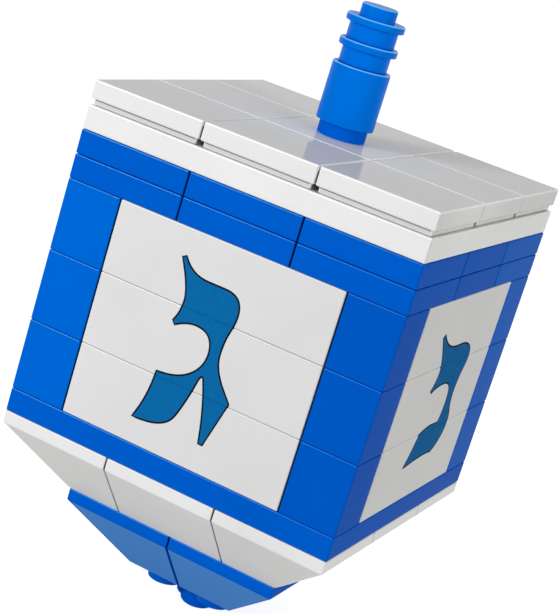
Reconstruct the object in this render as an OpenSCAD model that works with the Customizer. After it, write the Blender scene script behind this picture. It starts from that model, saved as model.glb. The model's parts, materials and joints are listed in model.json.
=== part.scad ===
// A dreidel put together from interlocking moulded bricks: a stem of round pieces on a tiled lid, a square
// body with a brick panel on every side, and a stepped point of roof slopes turned upside down.
// The origin is the end of the tip on the spin axis, +Z runs up the stem and the front faces -Y.

/* [Building grid] */
// Distance from one stud to the next
pitch = 8; // [7:0.1:10]
// Gap that a piece leaves inside its grid cells on every side
side_gap = 0.1; // [0.05:0.01:0.2]
// Height of a plate or a tile
plate_h = 3.2; // [2.6:0.1:4]
// Height of a brick or a slope
brick_h = 9.6; // [7.8:0.1:12]

/* [Studs and grip] */
// Diameter of a stud
stud_d = 4.8; // [4:0.1:5.8]
// Height of a stud
stud_h = 1.7; // [1.4:0.05:2.05]
// Gap round a stud, between it and the wall, tube or socket that holds it
clutch_gap = 0.05; // [0.02:0.01:0.1]
// Wall thickness of the tubes under a piece, and of the necks of the round pieces
tube_wall = 0.8; // [0.6:0.05:1]
// Free height above a stud inside a plate or a tile
stud_headroom = 0.5; // [0.1:0.05:0.6]
// Thickness of the skin under the studs of a brick or a slope
brick_skin = 1.5; // [1:0.1:2]
// Diameter of the blind recess inside a stud
recess_d = 2.6; // [2:0.1:3]
// Thickness of the end of a stud, above its recess
stud_skin = 1; // [0.8:0.1:1.2]

/* [Tiles] */
// Height of the groove round the foot of a tile
groove_h = 0.8; // [0.5:0.05:1]
// Depth of that groove
groove_depth = 0.4; // [0.2:0.05:0.5]

/* [Slopes] */
// Upright lip along the low edge of a slope
lip_h = 1.7; // [1.2:0.1:2.2]

/* [Stem] */
// Narrow neck at the foot of the round brick
neck_h = 1.8; // [1.4:0.1:2.4]
// Thickness of the rim round a round plate
rim_h = 1; // [0.8:0.1:1.4]

/* [Tip] */
// Length of the tip below the lowest slopes
tip_h = 4.8; // [4:0.1:6]
// Part of that length that is collar, gripped between the four lowest studs
collar_h = 3.4; // [2:0.1:3.6]
// Diameter of the point that the dreidel spins on
point_d = 4.8; // [3.6:0.1:5.8]
// Rounding of the point's edge
point_round = 0.6; // [0.2:0.1:1]

/* [Hidden] */
blue = "#0A5CC8";
white = "#F2F2F0";
sides = ["front", "right", "back", "left"];
corners = ["front_left", "front_right", "back_right", "back_left"];
levels = ["low", "mid", "high"];
rings = ["lower", "upper"];
cells = 6;
courses = len(levels);
quarter_turn = 90;
overrun = 0.2;
$fn = 48;

// The grip between pieces: walls touch a stud from the side, tubes from between four studs
stud_r = stud_d / 2;
wall = pitch / 2 - side_gap - stud_r - clutch_gap;
tube_r = pitch / sqrt(2) - stud_r - clutch_gap;
pin_r = pitch / 2 - stud_r - clutch_gap;
bore_r = tube_r - tube_wall;
recess_r = recess_d / 2;
plate_depth = stud_h + stud_headroom;
brick_depth = brick_h - brick_skin;

// Round pieces: a socket that turns on a stud, its neck, and the full width above it
socket_r = stud_r + clutch_gap;
neck_r = socket_r + tube_wall;
barrel_r = pitch / 2 - side_gap;

// The point that stands out of the tip's collar
point_r = point_d / 2;
point_h = tip_h - collar_h;

// A slope seen from its end. The inner face runs beside the outer one and just clears the outermost stud
slope_w = span(2);
slope_run = pitch - side_gap;
slope_rate = (brick_h - lip_h) / slope_run;
inner_rise = stud_h + clutch_gap - slope_rate * (pitch / 2 - side_gap - stud_r);
slope_outside = [[0, 0], [slope_w, 0], [slope_w, brick_h], [slope_run, brick_h], [0, lip_h]];
slope_inside = [
    [wall, -overrun],
    [slope_w - wall, -overrun],
    [slope_w - wall, brick_depth],
    [(brick_depth - inner_rise) / slope_rate, brick_depth],
    [wall, inner_rise + slope_rate * wall]
];

// Heights of the layers, from the lowest slopes up
blue_slope_z = tip_h;
white_slope_z = blue_slope_z + brick_h;
base_z = white_slope_z + brick_h;
course_z = base_z + plate_h;
lower_z = course_z + courses * brick_h;
upper_z = lower_z + plate_h;
lid_z = upper_z + plate_h;
tile_z = lid_z + plate_h;
stem_z = tile_z + plate_h;
ring_z = stem_z + brick_h;

// Distances from the axis to the middle of a square piece or of a single cell at the edge
two_cells = 2 * pitch;
edge_cell = (cells - 1) / 2 * pitch;

// Width of a piece that covers this many cells
function span(count) = count * pitch - 2 * side_gap;

// Centres of a row of cells, and the lines between them, about the middle of the row
function centres(count) = [for (i = [0 : count - 1]) (i - (count - 1) / 2) * pitch];
function between(count) = [for (i = [1 : 1 : count - 1]) (i - count / 2) * pitch];

// Places on the four sides and the four corners. Number 0 is the front, or the front left corner
module at_side(number, distance) {
    rotate([0, 0, number * quarter_turn]) translate([0, -distance, 0]) children();
}

module at_corner(number, distance) {
    rotate([0, 0, number * quarter_turn]) translate([-distance, -distance, 0]) children();
}

// A piece turned upside down, its open side up at this height. Each one is symmetric, so it may be mirrored
module upside_down(top) {
    translate([0, 0, top]) mirror([0, 0, 1]) children();
}

// Box over some cells, from one height up, drawn in from its sides by an inset
module slab(nx, ny, from, height, inset = 0) {
    translate([inset - span(nx) / 2, inset - span(ny) / 2, from])
        cube([span(nx) - 2 * inset, span(ny) - 2 * inset, height]);
}

module studs(nx, ny, top) {
    for (x = centres(nx), y = centres(ny))
        translate([x, y, top - overrun]) cylinder(r = stud_r, h = stud_h + overrun);
}

// Blind holes that thin the studs from inside, from the ceiling of the space below them
module recesses(nx, ny, top, ceiling) {
    for (x = centres(nx), y = centres(ny))
        translate([x, y, ceiling - overrun])
            cylinder(r = recess_r, h = top + stud_h - stud_skin - ceiling + overrun);
}

module tube(height) {
    difference() {
        cylinder(r = tube_r, h = height);
        translate([0, 0, -overrun]) cylinder(r = bore_r, h = height + 2 * overrun);
    }
}

// Tubes where four cells meet, or solid pins along a piece that is one cell wide
module grips(nx, ny, height) {
    if (ny > 1) {
        for (x = between(nx), y = between(ny))
            translate([x, y, 0]) tube(height);
    } else {
        for (x = between(nx))
            translate([x, 0, 0]) cylinder(r = pin_r, h = height);
    }
}

// The space under a piece that takes the studs of the next one
module hollow(nx, ny, depth) {
    difference() {
        slab(nx, ny, -overrun, depth + overrun, wall);
        grips(nx, ny, depth + overrun);
    }
}

module studded(nx, ny, height, depth) {
    difference() {
        union() {
            slab(nx, ny, 0, height);
            studs(nx, ny, height);
        }
        hollow(nx, ny, depth);
        recesses(nx, ny, height, depth);
    }
}

module plate(nx, ny) {
    studded(nx, ny, plate_h, plate_depth);
}

module brick(nx, ny) {
    studded(nx, ny, brick_h, brick_depth);
}

// Smooth top, with a groove round its foot so that it can be prised off
module tile(nx, ny) {
    difference() {
        union() {
            slab(nx, ny, groove_h, plate_h - groove_h);
            slab(nx, ny, 0, groove_h + overrun, groove_depth);
        }
        hollow(nx, ny, plate_depth);
    }
}

// Outline swept along X, with the low edge of the slope towards -Y
module ridge(outline, length) {
    translate([-length / 2, -slope_w / 2, 0])
        rotate([quarter_turn, 0, quarter_turn]) linear_extrude(length) polygon(outline);
}

// Two ridges crossed, with low edges towards -X and -Y
module hip(outline, length) {
    intersection() {
        ridge(outline, length);
        mirror([1, -1, 0]) ridge(outline, length);
    }
}

module straight_slope() {
    difference() {
        union() {
            ridge(slope_outside, slope_w);
            translate([0, pitch / 2, 0]) studs(2, 1, brick_h);
        }
        difference() {
            ridge(slope_inside, slope_w - 2 * wall);
            tube(brick_h);
        }
        translate([0, pitch / 2, 0]) recesses(2, 1, brick_h, brick_depth);
    }
}

module corner_slope() {
    difference() {
        union() {
            hip(slope_outside, slope_w);
            translate([pitch / 2, pitch / 2, 0]) studs(1, 1, brick_h);
        }
        difference() {
            hip(slope_inside, slope_w - 2 * wall);
            tube(brick_h);
        }
        translate([pitch / 2, pitch / 2, 0]) recesses(1, 1, brick_h, brick_depth);
    }
}

// Round piece one cell wide: a narrow neck, the full width from there up, a stud, and a socket below
module round_piece(height, neck, depth) {
    difference() {
        union() {
            cylinder(r = neck_r, h = height);
            translate([0, 0, neck]) cylinder(r = barrel_r, h = height - neck);
            studs(1, 1, height);
        }
        translate([0, 0, -overrun]) cylinder(r = socket_r, h = depth + overrun);
        recesses(1, 1, height, depth);
    }
}

// Collar gripped by the four lowest studs, and the blunt point below it
module tip() {
    color(blue) rotate_extrude() {
        square([point_r - point_round, point_h]);
        translate([0, point_round]) square([point_r, point_h - point_round]);
        translate([point_r - point_round, point_round]) circle(point_round);
        translate([0, point_h]) square([tube_r, collar_h]);
    }
}

module blue_slope(number) {
    color(blue) at_corner(number, pitch) upside_down(blue_slope_z + brick_h) corner_slope();
}

module white_corner_slope(number) {
    color(white) at_corner(number, two_cells) upside_down(white_slope_z + brick_h) corner_slope();
}

module white_side_slope(number) {
    color(white) at_side(number, two_cells) upside_down(white_slope_z + brick_h) straight_slope();
}

// Fills the square hole that the ring of white slopes leaves round the axis
module core_brick() {
    color(white) upside_down(white_slope_z + brick_h) brick(2, 2);
}

module base_plate() {
    color(blue) upside_down(base_z + plate_h) plate(cells, cells);
}

// The four single bricks at the corners of one course
module corner_bricks(course) {
    color(blue) for (number = [0 : 3])
        at_corner(number, edge_cell) upside_down(course_z + course * brick_h) brick(1, 1);
}

// The long brick that one course of a side panel is made of
module panel_brick(number, course) {
    color(white) at_side(number, edge_cell)
        upside_down(course_z + course * brick_h) brick(cells - 2, 1);
}

// The two layers of blue plates lie back to back. A long plate crosses the middle of each, one turned
// square to the other, so that every side shows its joints at the thirds in both layers
module lower_plate(nx = 2) {
    color(blue) upside_down(lower_z + plate_h) plate(nx, 2);
}

module upper_plate(ny = 2) {
    color(blue) translate([0, 0, upper_z]) plate(2, ny);
}

// Short pegs in the tubes that meet between the two layers, where studs down turns to studs up
module connector_pegs() {
    color("lightgray") for (x = [-1 : 1], y = [-1 : 1])
        translate([x * two_cells, y * two_cells, upper_z - plate_depth + clutch_gap])
            cylinder(r = bore_r - clutch_gap, h = 2 * (plate_depth - clutch_gap));
}

module lid_plate() {
    color(white) translate([0, 0, lid_z]) plate(cells, cells);
}

module lid_tile() {
    color(white) translate([0, 0, tile_z]) tile(2, 2);
}

// Tile-like plate with one stud at its centre, which carries the stem
module jumper_plate() {
    color(white) translate([0, 0, tile_z]) difference() {
        union() {
            tile(2, 2);
            studs(1, 1, plate_h);
        }
        recesses(1, 1, plate_h, plate_depth);
    }
}

module stem_round_brick() {
    color(blue) translate([0, 0, stem_z]) round_piece(brick_h, neck_h, brick_depth);
}

module stem_round_plate(number) {
    color(blue) translate([0, 0, ring_z + number * plate_h])
        round_piece(plate_h, plate_h - rim_h, plate_depth);
}

tip();
for (i = [0 : 3])
    blue_slope(i);
for (i = [0 : 3])
    white_corner_slope(i);
for (i = [0 : 3])
    white_side_slope(i);
core_brick();
base_plate();
for (c = [1 : courses])
    corner_bricks(c);
for (i = [0 : 3], c = [1 : courses])
    panel_brick(i, c);
lower_plate(cells);  // lower_plate_middle
for (i = [0 : 2 : 3])
    at_side(i, two_cells) lower_plate();
for (i = [0 : 3])
    at_corner(i, two_cells) lower_plate();
connector_pegs();
upper_plate(cells);  // upper_plate_middle
for (i = [1 : 2 : 3])
    at_side(i, two_cells) upper_plate();
for (i = [0 : 3])
    at_corner(i, two_cells) upper_plate();
lid_plate();
for (i = [0 : 3])
    at_side(i, two_cells) lid_tile();
for (i = [0 : 3])
    at_corner(i, two_cells) lid_tile();
jumper_plate();
stem_round_brick();
for (i = [0 : 1])
    stem_round_plate(i);
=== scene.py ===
# A dreidel put together from interlocking moulded bricks: the finish of every brick, the four printed
# letters, and the studio round it. Lengths are in millimetres, turned to metres with MM.
import json
import math

import bmesh
import bpy
from mathutils import Matrix, Vector

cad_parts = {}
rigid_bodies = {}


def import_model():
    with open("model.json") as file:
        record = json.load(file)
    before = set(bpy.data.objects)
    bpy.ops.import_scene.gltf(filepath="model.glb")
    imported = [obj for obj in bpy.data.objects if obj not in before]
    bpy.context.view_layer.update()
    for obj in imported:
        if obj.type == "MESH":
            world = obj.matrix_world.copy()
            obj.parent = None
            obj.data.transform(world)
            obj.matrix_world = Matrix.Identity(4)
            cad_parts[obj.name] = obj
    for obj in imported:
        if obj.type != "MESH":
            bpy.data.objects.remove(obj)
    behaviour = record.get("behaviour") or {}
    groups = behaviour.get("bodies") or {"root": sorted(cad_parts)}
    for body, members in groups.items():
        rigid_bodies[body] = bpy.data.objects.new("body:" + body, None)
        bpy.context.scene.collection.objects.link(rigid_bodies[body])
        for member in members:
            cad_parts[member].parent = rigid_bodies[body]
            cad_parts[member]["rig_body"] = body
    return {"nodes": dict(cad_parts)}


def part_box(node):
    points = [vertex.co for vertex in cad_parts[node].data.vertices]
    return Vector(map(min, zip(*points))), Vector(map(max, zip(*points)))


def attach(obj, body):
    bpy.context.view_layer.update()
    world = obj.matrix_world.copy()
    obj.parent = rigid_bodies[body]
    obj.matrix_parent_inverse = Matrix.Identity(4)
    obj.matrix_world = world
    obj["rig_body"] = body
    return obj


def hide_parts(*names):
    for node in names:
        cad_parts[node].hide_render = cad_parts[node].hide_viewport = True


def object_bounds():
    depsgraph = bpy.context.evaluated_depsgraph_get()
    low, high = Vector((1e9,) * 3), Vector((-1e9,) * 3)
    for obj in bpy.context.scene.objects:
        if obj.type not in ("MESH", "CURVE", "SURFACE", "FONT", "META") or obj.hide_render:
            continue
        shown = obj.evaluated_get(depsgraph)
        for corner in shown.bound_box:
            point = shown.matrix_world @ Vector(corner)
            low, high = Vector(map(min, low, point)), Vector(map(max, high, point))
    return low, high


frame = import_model()
cad_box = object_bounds()

# Camera: a long lens that looks down on the toy from the front and a little from the right. The toy leans
# in the photograph. Here it stands upright on its tip, so the camera rolls instead.
MM = 0.001
CAMERA_PLACE = Vector((83.26, -212.58, 104.25)) * MM
CAMERA_HEADING = 21.63
CAMERA_DOWN = 14.67
CAMERA_ROLL = 17.22
CAMERA_LENS = 103.13
CLIP_NEAR = 10 * MM
CLIP_FAR = 20000 * MM

camera = bpy.data.objects.new("camera", bpy.data.cameras.new("camera"))
camera.data.lens = CAMERA_LENS
camera.data.clip_start = CLIP_NEAR
camera.data.clip_end = CLIP_FAR
camera.matrix_world = (
    Matrix.Translation(CAMERA_PLACE)
    @ Matrix.Rotation(math.radians(CAMERA_HEADING), 4, "Z")
    @ Matrix.Rotation(math.radians(90 - CAMERA_DOWN), 4, "X")
    @ Matrix.Rotation(math.radians(CAMERA_ROLL), 4, "Z")
)
scene = bpy.context.scene
scene.collection.objects.link(camera)
scene.camera = camera
scene.view_settings.view_transform = "Standard"

# Tip: one small round piece of blue ABS, injection moulded like all the bricks. The four lowest studs grip
# its collar, and the dreidel spins on its blunt end.
BLUE = "#005FD0"
BLUE_GLINT = "#3A9BFF"
# The next colour is painted shade: a dark blue for the sides of a piece that face another piece.
BLUE_PAINTED_JOINT_SHADE = "#002562"
POLISHED = 0.2
BLUE_GLOSS = 0.0028
EDGE_POLISH = 0.3
EDGE_GLOSS = 0.7
EDGE_GLINT = "#80E0FF"
EDGE_FACES_UP = 0.2
EDGE_FACES_RIGHT = 0.3
ABS_IOR = 1.53
WELD = 0.001 * MM
FLAT_WITHIN = math.radians(1)
SHARP_FROM = math.radians(30)
EDGE_RADIUS = 0.15 * MM
EDGE_STEPS = 2
FLAT_FACE_PULL = 100
FLAT_CUTS = 2
FEWEST_FLATS = 12
LEVEL_NORMAL = 0.99
ANGLE_DIGITS = 3
JOINT = 0.04 * MM
DEEPEST_FOOT = 0.5 * MM
# The order of a moulding's materials: its open faces, its rounded edges, the faces painted with shade, and
# the grained faces of a slope or the painted shade in the groove of a tile.
OPEN, EDGE, SHADED, SPECIAL = range(4)


def linear_colour(code, shade=1.0):
    """An sRGB hex colour as the linear values that a shader takes, made darker by a share."""
    shares = [int(code[start : start + 2], 16) / 255 for start in (1, 3, 5)]
    linear = [s / 12.92 if s <= 0.04045 else ((s + 0.055) / 1.055) ** 2.4 for s in shares]
    return (*[shade * value for value in linear], 1)


def add_node(tree, kind, inputs=None, **settings):
    """Adds a node. Each input gets a value, a link from an output, or a list of links."""
    made = tree.nodes.new(kind)
    for name, value in settings.items():
        setattr(made, name, value)
    for socket, given in (inputs or {}).items():
        sources = given if isinstance(given, list) else [given]
        for source in sources:
            if isinstance(source, bpy.types.NodeSocket):
                tree.links.new(source, made.inputs[socket])
            else:
                made.inputs[socket].default_value = source
    return made


def moulded_abs(name, colour, roughness, gloss, glint="#FFFFFF", grain=0.0):
    """ABS as it leaves a steel mould. The melt's flow leaves faint clouds in the colour, the skin sinks a
    little over the tubes and walls behind it, and the mould's polish leaves a fine peel. A grained mould
    adds a spark eroded texture of the given depth, which scatters the light. A real one is finer. It is
    drawn this coarse so that it shows."""
    cloud_size, wear_size = 14 * MM, 16 * MM
    sink_size, peel_size, grain_size = 9 * MM, 1.2 * MM, 0.3 * MM
    sink_depth, peel_depth = 0.003 * MM, 0.0006 * MM
    darkest, lightest = 0.97, 1.02
    smoothest, dullest = 0.94, 1.06
    noise_low, noise_high = 0.3, 0.7
    material = bpy.data.materials.new(name)
    material.use_nodes = True
    tree = material.node_tree
    tree.nodes.clear()
    place = add_node(tree, "ShaderNodeTexCoord").outputs["Object"]
    clouds = add_node(tree, "ShaderNodeTexNoise", {"Vector": place, "Scale": 1 / cloud_size, "Detail": 2})
    tone = add_node(tree, "ShaderNodeValToRGB", {"Fac": clouds.outputs["Fac"]})
    tone.color_ramp.elements[0].color = linear_colour(colour, darkest)
    tone.color_ramp.elements[1].color = linear_colour(colour, lightest)
    tone.color_ramp.elements[0].position = noise_low
    tone.color_ramp.elements[1].position = noise_high
    wear = add_node(tree, "ShaderNodeTexNoise", {"Vector": place, "Scale": 1 / wear_size, "Detail": 0})
    dulled = add_node(
        tree,
        "ShaderNodeMapRange",
        {
            "Value": wear.outputs["Fac"],
            "From Min": noise_low,
            "From Max": noise_high,
            "To Min": smoothest * roughness,
            "To Max": dullest * roughness,
        },
    )
    reliefs = [(sink_size, 1, sink_depth), (peel_size, 0, peel_depth), (grain_size, 4, grain)]
    surface = {}
    for size, detail, depth in reliefs:
        if depth:
            noise = {"Vector": place, "Scale": 1 / size, "Detail": detail}
            waves = add_node(tree, "ShaderNodeTexNoise", noise)
            relief = {"Height": waves.outputs["Fac"], "Distance": depth, **surface}
            surface = {"Normal": add_node(tree, "ShaderNodeBump", relief).outputs["Normal"]}
    shader = add_node(
        tree,
        "ShaderNodeBsdfPrincipled",
        {
            "Base Color": tone.outputs["Color"],
            "Roughness": dulled.outputs["Result"],
            "IOR": ABS_IOR,
            "Specular IOR Level": gloss,
            "Specular Tint": linear_colour(glint),
            **surface,
        },
    )
    add_node(tree, "ShaderNodeOutputMaterial", {"Surface": shader.outputs["BSDF"]})
    return material


def whole_faces(node):
    """The shape of a node, with its loose triangles merged back into whole faces."""
    shape = bmesh.new()
    shape.from_mesh(frame["nodes"][node].data)
    bmesh.ops.remove_doubles(shape, verts=shape.verts, dist=WELD)
    bmesh.ops.dissolve_limit(shape, angle_limit=FLAT_WITHIN, verts=shape.verts, edges=shape.edges)
    for face in shape.faces:
        face.material_index = OPEN
        face.smooth = True
    return shape


def true_circles(shape, x, y):
    """The frame's round faces are made of a few dozen flats each. This cuts every flat round the upright
    axis at x and y in three, and moves the new edges out to the circle that the flats stand in."""
    circles = {}
    for edge in shape.edges:
        first, second = [math.hypot(vertex.co.x - x, vertex.co.y - y) for vertex in edge.verts]
        level = abs(edge.verts[0].co.z - edge.verts[1].co.z) < WELD
        if level and abs(first - second) < WELD:
            circles.setdefault((round(edge.verts[0].co.z / WELD), round(first / WELD)), []).append(edge)
    moved = set()
    for (_, radius), rim in circles.items():
        if len(rim) < FEWEST_FLATS:
            continue
        cut = bmesh.ops.bisect_edges(shape, edges=rim, cuts=FLAT_CUTS)["geom_split"]
        for vertex in [item for item in cut if isinstance(item, bmesh.types.BMVert)]:
            distance = math.hypot(vertex.co.x - x, vertex.co.y - y)
            vertex.co.x = x + (vertex.co.x - x) * radius * WELD / distance
            vertex.co.y = y + (vertex.co.y - y) * radius * WELD / distance
            moved.add(vertex)
    for face in [face for face in shape.faces if abs(face.normal.z) < LEVEL_NORMAL]:
        ring = [vertex for vertex in face.verts if vertex in moved]
        ring.sort(key=lambda v: (round(math.atan2(v.co.y - y, v.co.x - x), ANGLE_DIGITS), v.co.z))
        for lower, upper in zip(ring[::2], ring[1::2]):
            bmesh.ops.connect_verts(shape, verts=[lower, upper])


def leave_joints(shape, opens_up=True, outside=cad_box[1].x):
    """Bricks that are pressed together by hand don't quite close, so the open rim of a piece is drawn in.
    The sides that face another piece, and the groove round a tile, are painted darker as shade."""
    rim = (max if opens_up else min)(vertex.co.z for vertex in shape.verts)
    for vertex in shape.verts:
        if abs(vertex.co.z - rim) < WELD:
            vertex.co.z -= JOINT if opens_up else -JOINT
    for axis, outwards in ((0, -1), (0, 1), (1, -1), (1, 1)):
        side = max(vertex.co[axis] * outwards for vertex in shape.verts)
        for face in shape.faces:
            depth = side - face.calc_center_median()[axis] * outwards
            if face.normal[axis] * outwards < LEVEL_NORMAL or depth > DEEPEST_FOOT:
                continue
            if side < outside - WELD:
                face.material_index = SHADED
            elif depth > WELD:
                face.material_index = SPECIAL


def plain_mesh(piece):
    """Leaves a piece with the mesh that its modifiers make of it, and no modifiers."""
    evaluated = piece.evaluated_get(bpy.context.evaluated_depsgraph_get())
    piece.data = bpy.data.meshes.new_from_object(evaluated)
    piece.modifiers.clear()


def finish_moulding(node, shape, materials, radius=EDGE_RADIUS, which=""):
    """Rounds the outer edges of a shape as its mould does, and shows it in place of its node, or in place
    of one brick of a node that holds several, which then has a name of its own (which). The rounded
    edges that face up take the material of the edges, which has more gloss and glints in the key lamp. None
    of its light falls on the right side, so the blue edges there stay as they are."""
    weights = shape.edges.layers.float.new("bevel_weight_edge")
    for edge in shape.edges:
        edge[weights] = edge.is_manifold and edge.calc_face_angle_signed() > SHARP_FROM
    mesh = bpy.data.meshes.new(f"{node}{which}_moulding")
    shape.to_mesh(mesh)
    for material in materials:
        mesh.materials.append(material)
    piece = bpy.data.objects.new(f"{node}{which}_moulding", mesh)
    scene.collection.objects.link(piece)
    rounding = piece.modifiers.new("rounding", "BEVEL")
    rounding.width = radius
    rounding.segments = EDGE_STEPS
    rounding.limit_method = "WEIGHT"
    rounding.material = EDGE
    rounding.use_clamp_overlap = False
    rounding.loop_slide = False
    plain_mesh(piece)
    shape.clear()
    shape.from_mesh(piece.data)
    for edge in shape.edges:
        edge.smooth = edge.is_manifold and edge.calc_face_angle_signed() > -SHARP_FROM
    for face in shape.faces:
        unlit = materials[EDGE] is blue_edge and face.normal.x > EDGE_FACES_RIGHT
        if face.material_index == EDGE and (unlit or face.normal.z < EDGE_FACES_UP):
            face.material_index = OPEN
    shape.to_mesh(piece.data)
    shape.free()
    flatness = piece.modifiers.new("flatness", "WEIGHTED_NORMAL")
    flatness.keep_sharp = True
    flatness.weight = FLAT_FACE_PULL
    plain_mesh(piece)
    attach(piece, frame["nodes"][node]["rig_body"])
    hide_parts(node)


blue_polished = moulded_abs("blue_abs_polished", BLUE, POLISHED, BLUE_GLOSS, BLUE_GLINT)
blue_edge = moulded_abs("blue_abs_moulded_edge", BLUE, EDGE_POLISH, EDGE_GLOSS, EDGE_GLINT)
blue_painted_joint_shade = moulded_abs("blue_abs_painted_joint_shade", BLUE_PAINTED_JOINT_SHADE, POLISHED, BLUE_GLOSS, BLUE_GLINT)
BLUE_FINISHES = [blue_polished, blue_edge, blue_painted_joint_shade]
tip_shape = whole_faces("tip")
true_circles(tip_shape, 0, 0)
finish_moulding("tip", tip_shape, BLUE_FINISHES)

# Blue slopes: four 2x2 corner roof slopes upside down, which close the point. The mould is polished for
# the lip and the ends and spark eroded for the sloping faces, whose fine grain scatters white light over
# the blue. That light is painted into them as a paler blue, and they are duller.
CORNERS = ["front_left", "front_right", "back_right", "back_left"]
SIDES = ["front", "right", "back", "left"]
STUD_FROM_AXIS = 4 * MM
BLUE_SLOPES_OUTSIDE = 15.9 * MM
# The next colour is a painted sheen: the white light that the grain scatters, painted into the blue.
GRAINED_BLUE_PAINTED_SHEEN = "#5190D7"
GRAINED = 0.5
GRAIN_DEPTH = 0.004 * MM
SLOPING = (-0.9, -0.3)


def grain_slopes(shape):
    """Gives the outer sloping faces of a roof slope its grained material."""
    for face in shape.faces:
        if SLOPING[0] < face.normal.z < SLOPING[1]:
            face.material_index = SPECIAL


blue_grained_painted_sheen = moulded_abs("blue_abs_grained_painted_sheen", GRAINED_BLUE_PAINTED_SHEEN, GRAINED, BLUE_GLOSS, grain=GRAIN_DEPTH)
for corner in CORNERS:
    shape = whole_faces(f"blue_slope_{corner}")
    grain_slopes(shape)
    leave_joints(shape, outside=BLUE_SLOPES_OUTSIDE)
    stud_x = STUD_FROM_AXIS if "right" in corner else -STUD_FROM_AXIS
    stud_y = STUD_FROM_AXIS if "back" in corner else -STUD_FROM_AXIS
    true_circles(shape, stud_x, stud_y)
    finish_moulding(f"blue_slope_{corner}", shape, [*BLUE_FINISHES, blue_grained_painted_sheen])

# White slopes: a ring of eight in white ABS, with a corner slope like the blue ones at each corner and a
# straight slope between them on each side. Their sloping faces are grained too, and painted a little darker
# and warmer as shade.
WHITE = "#EDEDED"
# The next colour is painted shade: the grained white, painted a little darker and warmer.
GRAINED_WHITE_PAINTED_SHADE = "#E1DFDA"
WHITE_GLOSS = 0.3
# The next colour is painted shade: a grey for the sides of a white piece that face another piece.
WHITE_PAINTED_JOINT_SHADE = "#8A8A8A"

white_polished = moulded_abs("white_abs_polished", WHITE, POLISHED, WHITE_GLOSS)
white_grained_painted_shade = moulded_abs("white_abs_grained_painted_shade", GRAINED_WHITE_PAINTED_SHADE, GRAINED, WHITE_GLOSS, grain=GRAIN_DEPTH)
white_edge = moulded_abs("white_abs_moulded_edge", WHITE, EDGE_POLISH, EDGE_GLOSS)
white_painted_joint_shade = moulded_abs("white_abs_painted_joint_shade", WHITE_PAINTED_JOINT_SHADE, POLISHED, WHITE_GLOSS)
WHITE_FINISHES = [white_polished, white_edge, white_painted_joint_shade]
for place in CORNERS + SIDES:
    shape = whole_faces(f"white_slope_{place}")
    grain_slopes(shape)
    leave_joints(shape)
    finish_moulding(f"white_slope_{place}", shape, [*WHITE_FINISHES, white_grained_painted_shade])

# Core brick: a white 2x2 brick in the hole of that ring. Nothing of it shows, so the frame's own shape
# stays and only takes the plastic.
frame["nodes"]["core_brick"].data.materials.clear()
frame["nodes"]["core_brick"].data.materials.append(white_polished)

# Base plate: one blue ABS 6x6 plate, laid upside down, so that its studs hold the ring of slopes together.
# Its edge is the lowest blue band.
shape = whole_faces("base_plate")
leave_joints(shape)
finish_moulding("base_plate", shape, BLUE_FINISHES)

# Corner bricks: twelve blue 1x1 bricks, three above each other at every corner of the body. Those at the
# front left and the back right are painted a lighter blue as painted light, and those at the front right a
# darker blue as painted shade.
LEVELS = ["low", "mid", "high"]
# The next two colours are painted light and painted shade: a lighter and a darker blue.
PAINTED_LIGHT_BLUE = "#0068D8"
PAINTED_SHADE_BLUE = "#005BCA"

painted_light = moulded_abs("blue_abs_painted_light", PAINTED_LIGHT_BLUE, POLISHED, BLUE_GLOSS, BLUE_GLINT)
painted_shade = moulded_abs("blue_abs_painted_shade", PAINTED_SHADE_BLUE, POLISHED, BLUE_GLOSS, BLUE_GLINT)
PAINTED_LIGHT_FINISHES = [painted_light, blue_edge, blue_painted_joint_shade]
PAINTED_SHADE_FINISHES = [painted_shade, blue_edge, blue_painted_joint_shade]
CORNER_FINISHES = dict(zip(CORNERS, [PAINTED_LIGHT_FINISHES, PAINTED_SHADE_FINISHES, PAINTED_LIGHT_FINISHES, BLUE_FINISHES]))
for level in LEVELS:
    for corner, finishes in CORNER_FINISHES.items():
        shape = whole_faces(f"corner_bricks_{level}")
        right, back = "right" in corner, "back" in corner
        others = [v for v in shape.verts if (v.co.x > 0) != right or (v.co.y > 0) != back]
        bmesh.ops.delete(shape, geom=others, context="VERTS")
        leave_joints(shape)
        finish_moulding(f"corner_bricks_{level}", shape, finishes, which=f"_{corner}")

# Panel bricks: a white ABS 1x4 brick in each course of each side, between the corner bricks. In the
# photograph their faces look a little duller and greyer than the lid, so they are drawn so.
PANEL_WHITE = "#E4E4E4"
PANEL_FINISH = 0.3
PANEL_GLOSS = 0.05

white_for_print = moulded_abs("white_abs_for_print", PANEL_WHITE, PANEL_FINISH, PANEL_GLOSS)
print_edge = moulded_abs("white_abs_for_print_edge", PANEL_WHITE, EDGE_POLISH, EDGE_GLOSS)
PRINT_FINISHES = [white_for_print, print_edge, white_painted_joint_shade]
for side in SIDES:
    for level in LEVELS:
        shape = whole_faces(f"panel_brick_{side}_{level}")
        leave_joints(shape)
        finish_moulding(f"panel_brick_{side}_{level}", shape, PRINT_FINISHES)

# Letters: the four traditional marks of the game, one on each panel, made as pad print in blue ink with a
# thin black line round it. The bricks are printed one by one, so the print stops at every joint. There it
# wraps over their rounded edges, so it is sunk almost as deep as they are round.
INK_BLUE = "#0A67A5"
INK_BLACK = "#14161A"
INK_STANDS_OUT = 0.016 * MM
INK_SUNK = 0.12 * MM
LINE_WIDTH = 0.24 * MM
JOINT_MARGIN = 0.02 * MM
CUTTER_WIDTH = 100 * MM
CURVE_POINTS = 12
PULL = True
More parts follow.
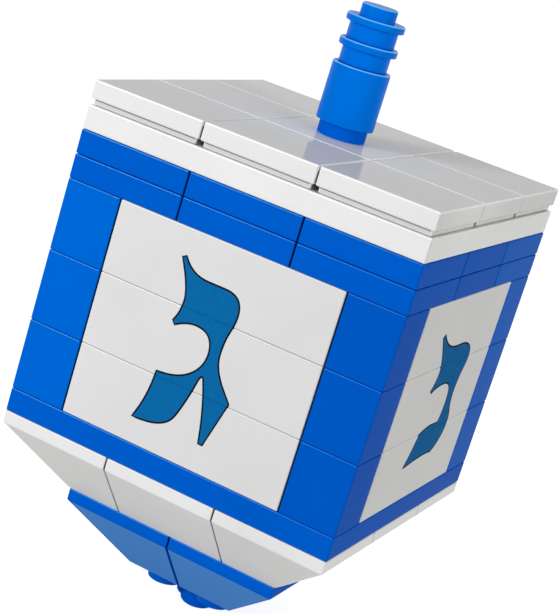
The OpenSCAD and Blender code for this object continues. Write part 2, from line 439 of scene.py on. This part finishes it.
# Outlines seen from outside, from the middle of the panel, clockwise. (x, z) is a corner, and
# (x, z, PULL) draws the line towards it, so that the line passes midway between two pulls.
LETTERS = {
    "gimel": [
        [
            (-5.7, 10.6), (-5.2, 10.9), (-3.9, 8.9, PULL), (-1.4, 8.9), (1.0, 8.9), (3.6, 8.9, PULL),
            (3.6, 6.4), (3.6, 5.4, PULL), (2.8, 2.8, PULL), (2.8, -0.9, PULL), (4.5, -2.9), (5.8, -4.4),
            (4.0, -10.7), (3.4, -10.7), (2.9, -6.6, PULL), (1.7, -3.1), (1.4, -2.0, PULL), (1.0, -3.1),
            (0.3, -6.3, PULL), (-1.6, -11.0, PULL), (-6.3, -11.0), (-4.9, -7.8, PULL), (-4.8, -4.2),
            (-1.9, -4.1, PULL), (1.3, -1.4, PULL), (1.3, 0.6), (1.2, 3.2, PULL), (-1.3, 3.2),
            (-2.7, 3.2, PULL), (-4.2, 2.2), (-4.6, 2.7), (-4.0, 3.6, PULL), (-3.7, 7.0, PULL),
        ]
    ],
    "nun": [
        [
            (-6.9, 9.3), (-6.2, 9.6), (-3.6, 7.2, PULL), (0.0, 7.2), (2.5, 7.2), (6.8, 7.0, PULL), (7.1, 4.6),
            (7.0, 3.9, PULL), (5.7, 1.6, PULL), (5.6, -1.8, PULL), (6.8, -3.3), (7.9, -4.9, PULL),
            (6.1, -8.0, PULL), (4.2, -8.7), (2.6, -8.4, PULL), (-2.7, -8.8), (-3.8, -9.0, PULL), (-5.6, -9.1),
            (-4.2, -7.2, PULL), (-3.2, -4.7), (-1.4, -4.2, PULL), (0.3, -4.1), (2.9, -4.2),
            (3.6, -3.2, PULL), (3.6, 0.2, PULL), (1.9, 1.9, PULL), (-0.2, 1.9), (-2.6, 1.9, PULL),
            (-4.1, 1.2), (-4.7, 1.6), (-3.6, 2.6, PULL), (-3.4, 5.3, PULL),
        ]
    ],
    "shin": [
        [
            (-7.3, 8.4), (-6.8, 8.7), (-5.8, 6.8, PULL), (-3.4, 7.1), (-4.6, 4.6, PULL), (-4.9, -1.4, PULL),
            (-3.2, -4.6), (-1.3, -4.4, PULL), (-0.8, 2.0, PULL), (-2.6, 3.5), (-1.3, 5.2, PULL),
            (-2.6, 8.4), (-2.1, 8.7), (-1.1, 6.8, PULL), (1.4, 7.1), (0.5, 5.0, PULL), (1.1, -0.6, PULL),
            (-0.6, -4.7), (4.4, -4.6, PULL), (4.6, 2.4, PULL), (2.7, 3.5), (4.0, 5.2, PULL), (2.7, 8.4),
            (3.2, 8.7), (4.2, 6.8, PULL), (6.9, 7.3), (6.2, 5.4, PULL), (7.6, -2.2, PULL),
            (5.2, -9.2, PULL), (-6.3, -10.4, PULL), (-5.4, -3.0, PULL), (-5.9, 2.0, PULL), (-6.8, 3.4),
            (-5.7, 5.2, PULL), (-6.7, 6.8, PULL),
        ]
    ],
    "hei": [
        [
            (-7.0, 10.2), (-6.4, 10.5), (-4.8, 8.4, PULL), (-2.2, 8.4), (2.4, 8.4), (6.0, 8.4, PULL),
            (6.0, 5.8), (6.0, 4.8, PULL), (5.2, 2.2, PULL), (5.2, -1.6, PULL), (6.3, -4.4), (7.2, -6.0),
            (4.9, -10.7), (4.2, -10.7), (3.4, -4.6, PULL), (3.6, 2.7, PULL), (0.6, 2.7), (-2.4, 2.7),
            (-3.8, 2.7, PULL), (-5.4, 1.9), (-5.9, 2.4), (-5.2, 3.6, PULL), (-5.0, 6.8, PULL),
        ],
        [
            (-4.4, 0.7), (-3.7, 0.5), (-3.3, -3.2, PULL), (-1.5, -5.4), (-3.8, -10.7), (-4.5, -10.7),
            (-4.6, -7.4, PULL), (-5.8, -5.0), (-4.6, -2.4, PULL),
        ],
    ],
}


def pad_print_ink(name, colour):
    """Pad printing ink: a thin matt film. The pad's silicone leaves it a little uneven, and dots of it
    stay thin, so that it looks slightly lighter there."""
    dot_size, film_size, film_depth = 0.4 * MM, 0.9 * MM, 0.002 * MM
    thick_below, thin_above, thin_shade = 0.35, 0.75, 1.12
    smoothest, dullest, ink_gloss = 0.5, 0.65, 0.01
    noise_low, noise_high = 0.3, 0.7
    material = bpy.data.materials.new(name)
    material.use_nodes = True
    tree = material.node_tree
    tree.nodes.clear()
    place = add_node(tree, "ShaderNodeTexCoord").outputs["Object"]
    dots = add_node(tree, "ShaderNodeTexNoise", {"Vector": place, "Scale": 1 / dot_size, "Detail": 4})
    film = add_node(tree, "ShaderNodeTexNoise", {"Vector": place, "Scale": 1 / film_size, "Detail": 2})
    tone = add_node(tree, "ShaderNodeValToRGB", {"Fac": dots.outputs["Fac"]})
    tone.color_ramp.elements[0].position = thick_below
    tone.color_ramp.elements[1].position = thin_above
    tone.color_ramp.elements[0].color = linear_colour(colour)
    tone.color_ramp.elements[1].color = linear_colour(colour, thin_shade)
    matt = add_node(
        tree,
        "ShaderNodeMapRange",
        {
            "Value": film.outputs["Fac"],
            "From Min": noise_low,
            "From Max": noise_high,
            "To Min": smoothest,
            "To Max": dullest,
        },
    )
    relief = add_node(tree, "ShaderNodeBump", {"Height": film.outputs["Fac"], "Distance": film_depth})
    shader = add_node(
        tree,
        "ShaderNodeBsdfPrincipled",
        {
            "Base Color": tone.outputs["Color"],
            "Roughness": matt.outputs["Result"],
            "Specular IOR Level": ink_gloss,
            "Normal": relief.outputs["Normal"],
        },
    )
    add_node(tree, "ShaderNodeOutputMaterial", {"Surface": shader.outputs["BSDF"]})
    return material


def outline_points(outline):
    """The points of an outline in metres, with its pulled stretches drawn as parabolas."""
    points = []
    for index, point in enumerate(outline):
        here = Vector(point[:2])
        if len(point) == 2:
            points.append(here * MM)
            continue
        before, after = outline[index - 1], outline[(index + 1) % len(outline)]
        start = Vector(before) if len(before) == 2 else (Vector(before[:2]) + here) / 2
        end = Vector(after) if len(after) == 2 else (Vector(after[:2]) + here) / 2
        for step in range(len(before) == 2, CURVE_POINTS):
            share = step / CURVE_POINTS
            points.append(((1 - share) ** 2 * start + 2 * share * (1 - share) * here + share**2 * end) * MM)
    return points


def letter_curve(name, outlines):
    """An object that holds the outlines of a letter as closed lines in its XY plane."""
    curve = bpy.data.curves.new(name, "CURVE")
    for outline in outlines:
        points = outline_points(outline)
        line = curve.splines.new("POLY")
        line.points.add(len(points) - 1)
        for spot, point in zip(line.points, points):
            spot.co = (point.x, point.y, 0, 1)
        line.use_cyclic_u = True
    letter = bpy.data.objects.new(name, curve)
    scene.collection.objects.link(letter)
    return letter


def print_tree():
    """Nodes that fill a letter's line and its inside, raise both as ink, stand them on the face of a
    brick and cut off what lies on the bricks above and below."""
    tree = bpy.data.node_groups.new("pad_print", "GeometryNodeTree")
    for name, kind in [
        ("Letter", "Geometry"), ("Turn", "Float"), ("Wall", "Float"), ("Middle", "Float"), ("Low", "Float"),
        ("High", "Float"), ("Line width", "Float"), ("Thickness", "Float"), ("Sunk", "Float"),
        ("Fill ink", "Material"), ("Line ink", "Material"),
    ]:
        tree.interface.new_socket(name, in_out="INPUT", socket_type=f"NodeSocket{kind}")
    tree.interface.new_socket("Print", in_out="OUTPUT", socket_type="NodeSocketGeometry")
    given = add_node(tree, "NodeGroupInput").outputs
    tangent = add_node(tree, "GeometryNodeInputTangent").outputs[0]
    upright = {0: (0, 0, 1), 1: tangent}
    outwards = add_node(tree, "ShaderNodeVectorMath", upright, operation="CROSS_PRODUCT")

    def spread(share):
        """The letter's line moved outwards by a share of the line's width."""
        shift = {0: given["Line width"], 1: share}
        distance = add_node(tree, "ShaderNodeMath", shift, operation="MULTIPLY")
        move = {0: outwards.outputs[0], "Scale": distance.outputs[0]}
        moved = add_node(tree, "ShaderNodeVectorMath", move, operation="SCALE")
        inputs = {"Geometry": given["Letter"], "Offset": moved.outputs[0]}
        return add_node(tree, "GeometryNodeSetPosition", inputs).outputs[0]

    inner = spread(-0.5)
    rings = add_node(tree, "GeometryNodeJoinGeometry", {0: [spread(0.5), inner]}).outputs[0]
    ends = {0: given["High"], 1: given["Low"]}
    height = add_node(tree, "ShaderNodeMath", ends, operation="SUBTRACT").outputs[0]
    middle = {0: height, 1: 0.5, 2: given["Low"]}
    level = add_node(tree, "ShaderNodeMath", middle, operation="MULTIPLY_ADD").outputs[0]
    room_sides = {"X": CUTTER_WIDTH, "Y": CUTTER_WIDTH, "Z": height}
    room_size = add_node(tree, "ShaderNodeCombineXYZ", room_sides).outputs[0]
    room = add_node(tree, "GeometryNodeMeshCube", {"Size": room_size}).outputs["Mesh"]
    lift = add_node(tree, "ShaderNodeCombineXYZ", {"Z": level}).outputs[0]
    block = add_node(tree, "GeometryNodeTransform", {"Geometry": room, "Translation": lift}).outputs[0]
    sink = {0: given["Sunk"], 1: given["Wall"]}
    depth = add_node(tree, "ShaderNodeMath", sink, operation="SUBTRACT").outputs[0]
    panel = add_node(tree, "ShaderNodeCombineXYZ", {"Y": depth, "Z": given["Middle"]}).outputs[0]
    turn = add_node(tree, "ShaderNodeCombineXYZ", {"Z": given["Turn"]}).outputs[0]
    prints = []
    for lines, ink in [(inner, "Fill ink"), (rings, "Line ink")]:
        flat = add_node(tree, "GeometryNodeFillCurve", {"Curve": lines}, mode="TRIANGLES").outputs[0]
        raised = add_node(
            tree,
            "GeometryNodeExtrudeMesh",
            {"Mesh": flat, "Offset Scale": given["Thickness"], "Individual": False},
        ).outputs["Mesh"]
        under = add_node(tree, "GeometryNodeFlipFaces", {"Mesh": flat}).outputs[0]
        both = add_node(tree, "GeometryNodeJoinGeometry", {0: [raised, under]}).outputs[0]
        solid = add_node(tree, "GeometryNodeMergeByDistance", {"Geometry": both, "Distance": WELD}).outputs[0]
        stand = {"Geometry": solid, "Translation": panel, "Rotation": (math.radians(90), 0, 0)}
        stood = add_node(tree, "GeometryNodeTransform", stand).outputs[0]
        cut = {"operation": "INTERSECT", "solver": "MANIFOLD"}
        kept = add_node(tree, "GeometryNodeMeshBoolean", {1: [stood, block]}, **cut).outputs[0]
        turned = add_node(tree, "GeometryNodeTransform", {"Geometry": kept, "Rotation": turn}).outputs[0]
        inked = {"Geometry": turned, "Material": given[ink]}
        prints.append(add_node(tree, "GeometryNodeSetMaterial", inked).outputs[0])
    joined = add_node(tree, "GeometryNodeJoinGeometry", {0: prints}).outputs[0]
    real = add_node(tree, "GeometryNodeRealizeInstances", {"Geometry": joined}).outputs[0]
    add_node(tree, "NodeGroupOutput", {0: real})
    return tree


def set_inputs(modifier, values):
    """Sets a modifier's inputs by the names that its tree gives them."""
    sockets = {item.name: item.identifier for item in modifier.node_group.interface.items_tree}
    for name, value in values.items():
        modifier[sockets[name]] = value


fill_ink = pad_print_ink("blue_pad_print_ink", INK_BLUE)
line_ink = pad_print_ink("black_pad_print_ink", INK_BLACK)
pad_print = print_tree()
joints = [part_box(node)[1].z for node in ["base_plate", *[f"corner_bricks_{level}" for level in LEVELS]]]
for turn, letter in enumerate(LETTERS):
    side = SIDES[turn]
    for level, low, high in zip(LEVELS, joints, joints[1:]):
        print_on = letter_curve(f"{letter}_print_{level}", LETTERS[letter])
        printing = print_on.modifiers.new("pad_print", "NODES")
        printing.node_group = pad_print
        set_inputs(
            printing,
            {
                "Turn": math.radians(90 * turn),
                "Wall": cad_box[1].x,
                "Middle": (joints[0] + joints[-1]) / 2,
                "Low": low + JOINT_MARGIN,
                "High": high - JOINT_MARGIN,
                "Line width": LINE_WIDTH,
                "Thickness": INK_SUNK + INK_STANDS_OUT,
                "Sunk": INK_SUNK,
                "Fill ink": fill_ink,
                "Line ink": line_ink,
            },
        )
        evaluated = print_on.evaluated_get(bpy.context.evaluated_depsgraph_get())
        mesh = bpy.data.meshes.new_from_object(evaluated)
        bpy.data.objects.remove(print_on)
        piece = bpy.data.objects.new(f"{letter}_print_{level}", mesh)
        scene.collection.objects.link(piece)
        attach(piece, frame["nodes"][f"panel_brick_{side}_{level}"]["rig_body"])

# Blue plates: two layers, back to back. A 2x6 plate crosses the middle of each and 2x2 plates fill the rest.
# The two at the back on the right are painted in the lighter blue too, as painted light.
for plate in [name for name in frame["nodes"] if name.startswith(("lower_plate", "upper_plate"))]:
    shape = whole_faces(plate)
    leave_joints(shape, plate.startswith("lower"))
    plate_finishes = PAINTED_LIGHT_FINISHES if plate.endswith("back_right") else BLUE_FINISHES
    finish_moulding(plate, shape, plate_finishes)

# Connector pegs: nine short round pegs of grey ABS in the tubes that meet between the two layers, which join
# the layers back to back. None shows, so the frame's own shape stays and only takes the plastic.
PEG_GREY = "#9BA19D"

grey_polished = moulded_abs("grey_abs_polished", PEG_GREY, POLISHED, WHITE_GLOSS)
frame["nodes"]["connector_pegs"].data.materials.clear()
frame["nodes"]["connector_pegs"].data.materials.append(grey_polished)

# Lid: a white ABS 6x6 plate under eight smooth 2x2 tiles and a 2x2 plate with one stud in the middle. The
# tiles are glossy enough to mirror the stem. Their rounder rims have a painted highlight on top. The gaps
# between them are painted with shade below the top, the groove round them with grey shade, darker above.
TILE_FINISH = 0.07
TILE_GLOSS = 0.015
# The next colour is a painted highlight on the rims of the tiles that face up.
TILE_RIM_PAINTED_HIGHLIGHT = "#FFFFFF"
TILE_RIM_RADIUS = 0.2 * MM
# The next colour is painted shade in the groove round a tile.
GROOVE_PAINTED_SHADE_WHITE = "#D2D2D2"
LIT_ABOVE = 2.5 * MM
SHADED_ABOVE = 0.6 * MM

white_tile = moulded_abs("white_abs_tile", WHITE, TILE_FINISH, TILE_GLOSS)
top_finishes = {"lid_plate": white_polished, "jumper_plate": white_tile}
top_finishes.update({f"tile_{place}": white_tile for place in CORNERS + SIDES})
white_groove_painted_shade = moulded_abs("white_abs_groove_painted_shade", GROOVE_PAINTED_SHADE_WHITE, POLISHED, WHITE_GLOSS)
painted_highlight_rim = moulded_abs("white_abs_painted_highlight_rim", TILE_RIM_PAINTED_HIGHLIGHT, EDGE_POLISH, EDGE_GLOSS)
LID_FINISHES = [painted_highlight_rim, white_painted_joint_shade, white_groove_painted_shade]
for piece, finish in top_finishes.items():
    shape = whole_faces(piece)
    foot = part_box(piece)[0].z
    for height in [LIT_ABOVE, SHADED_ABOVE]:
        everything = [*shape.verts, *shape.edges, *shape.faces]
        bmesh.ops.bisect_plane(shape, geom=everything, plane_co=(0, 0, foot + height), plane_no=(0, 0, 1))
    leave_joints(shape, opens_up=False)
    for face in shape.faces:
        height = face.calc_center_median().z - foot
        if face.material_index == SPECIAL and height > SHADED_ABOVE:
            face.material_index = SHADED
        elif face.material_index == SHADED and height > LIT_ABOVE:
            face.material_index = OPEN
    finish_moulding(piece, shape, [finish, *LID_FINISHES], TILE_RIM_RADIUS)

# Stem: a 1x1 round brick with a narrow neck and two 1x1 round plates on it, each of which turns on the
# stud below it. Fingers spin the dreidel by them. The neck is painted in the body's darker blue as shade,
# and the rounded edges that face up in a paler blue as a painted highlight.
STEM_BLUE = "#0070DC"
# The next colour is a painted highlight on the stem's rounded edges that face up.
STEM_PAINTED_HIGHLIGHT_BLUE = "#60B4FF"
STEM_FINISH = 0.3
STEM_GLOSS = 0.03
STEM_EDGE_RADIUS = 0.17 * MM
NECK_HEIGHT = 1.6 * MM

stem_polished = moulded_abs("blue_abs_stem", STEM_BLUE, STEM_FINISH, STEM_GLOSS, BLUE_GLINT)
stem_painted_highlight = moulded_abs("blue_abs_stem_painted_highlight", STEM_PAINTED_HIGHLIGHT_BLUE, EDGE_POLISH, EDGE_GLOSS, EDGE_GLINT)
neck_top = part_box("stem_round_brick")[0].z + NECK_HEIGHT
for part in ["stem_round_brick", "stem_round_plate_lower", "stem_round_plate_upper"]:
    shape = whole_faces(part)
    for face in shape.faces:
        if face.calc_center_median().z < neck_top:
            face.material_index = SHADED
    true_circles(shape, 0, 0)
    finish_moulding(part, shape, [stem_polished, stem_painted_highlight, blue_polished], STEM_EDGE_RADIUS)

# Studio: a pale floor, a soft light in front on the left, a wider and weaker one on the right, a narrow
# beam that picks out the stem and an even light from all round. What the camera, gloss and glass see beyond
# the toy is white.
FLOOR_COLOUR = "#EFEFEF"
FLOOR_SIZE = 6000 * MM
FLOOR_GLOW = 0.76
ROOM_COLOUR = (1, 1, 1, 1)
ROOM_LEVEL = 0.33
KEY = {"place": (-220, -415, 190), "size": 120, "power": 1.25, "colour": (1, 1, 1)}
FILL = {"place": (400, -70, 155), "size": 300, "power": 0.37, "colour": (1, 0.99, 0.93)}
AIM = Vector((0, 0, 42)) * MM
SNOOT = {"place": (136, -63, 95), "aim": (0, 0, 80), "power": 0.22, "width": math.radians(12), "radius": 8}
SNOOT_SOFT_EDGE = 0.3


def seen_directly(tree):
    """One for rays from the camera and for glossy and transmission rays, and nothing for the rest."""
    path = add_node(tree, "ShaderNodeLightPath").outputs
    first = {0: path["Is Camera Ray"], 1: path["Is Glossy Ray"]}
    most = add_node(tree, "ShaderNodeMath", first, operation="MAXIMUM").outputs[0]
    last = {0: most, 1: path["Is Transmission Ray"]}
    return add_node(tree, "ShaderNodeMath", last, operation="MAXIMUM").outputs[0]


world = bpy.data.worlds.new("studio")
scene.world = world
world.use_nodes = True
world.node_tree.nodes.clear()
room_light = {"Color": ROOM_COLOUR, "Strength": ROOM_LEVEL}
dim = add_node(world.node_tree, "ShaderNodeBackground", room_light).outputs[0]
bright = add_node(world.node_tree, "ShaderNodeBackground", {"Color": ROOM_COLOUR}).outputs[0]
shares = {0: seen_directly(world.node_tree), 1: dim, 2: bright}
mixed = add_node(world.node_tree, "ShaderNodeMixShader", shares)
add_node(world.node_tree, "ShaderNodeOutputWorld", {"Surface": mixed.outputs[0]})

floor_mesh = bpy.data.meshes.new("floor")
half = FLOOR_SIZE / 2
floor_corners = [(-half, -half, 0), (half, -half, 0), (half, half, 0), (-half, half, 0)]
floor_mesh.from_pydata(floor_corners, [], [(0, 1, 2, 3)])
floor = bpy.data.objects.new("floor", floor_mesh)
scene.collection.objects.link(floor)
floor_material = bpy.data.materials.new("floor_paint")
floor_material.use_nodes = True
floor_tree = floor_material.node_tree
floor_tree.nodes.clear()
paint = add_node(floor_tree, "ShaderNodeBsdfDiffuse", {"Color": linear_colour(FLOOR_COLOUR)})
lift = {0: seen_directly(floor_tree), 1: FLOOR_GLOW}
lifted = add_node(floor_tree, "ShaderNodeMath", lift, operation="MULTIPLY").outputs[0]
glow = add_node(floor_tree, "ShaderNodeEmission", {"Strength": lifted})
both = add_node(floor_tree, "ShaderNodeAddShader", {0: paint.outputs[0], 1: glow.outputs[0]})
add_node(floor_tree, "ShaderNodeOutputMaterial", {"Surface": both.outputs[0]})
floor_mesh.materials.append(floor_material)

for name, settings in {"key": KEY, "fill": FILL}.items():
    lamp = bpy.data.lights.new(name, "AREA")
    lamp.size = settings["size"] * MM
    lamp.energy = settings["power"]
    lamp.color = settings["colour"]
    light = bpy.data.objects.new(name, lamp)
    light.location = Vector(settings["place"]) * MM
    light.rotation_euler = (AIM - light.location).to_track_quat("-Z", "Y").to_euler()
    scene.collection.objects.link(light)
snoot = bpy.data.lights.new("snoot", "SPOT")
snoot.energy = SNOOT["power"]
snoot.spot_size = SNOOT["width"]
snoot.spot_blend = SNOOT_SOFT_EDGE
snoot.shadow_soft_size = SNOOT["radius"] * MM
light = bpy.data.objects.new("snoot", snoot)
light.location = Vector(SNOOT["place"]) * MM
light.rotation_euler = (Vector(SNOOT["aim"]) * MM - light.location).to_track_quat("-Z", "Y").to_euler()
scene.collection.objects.link(light)
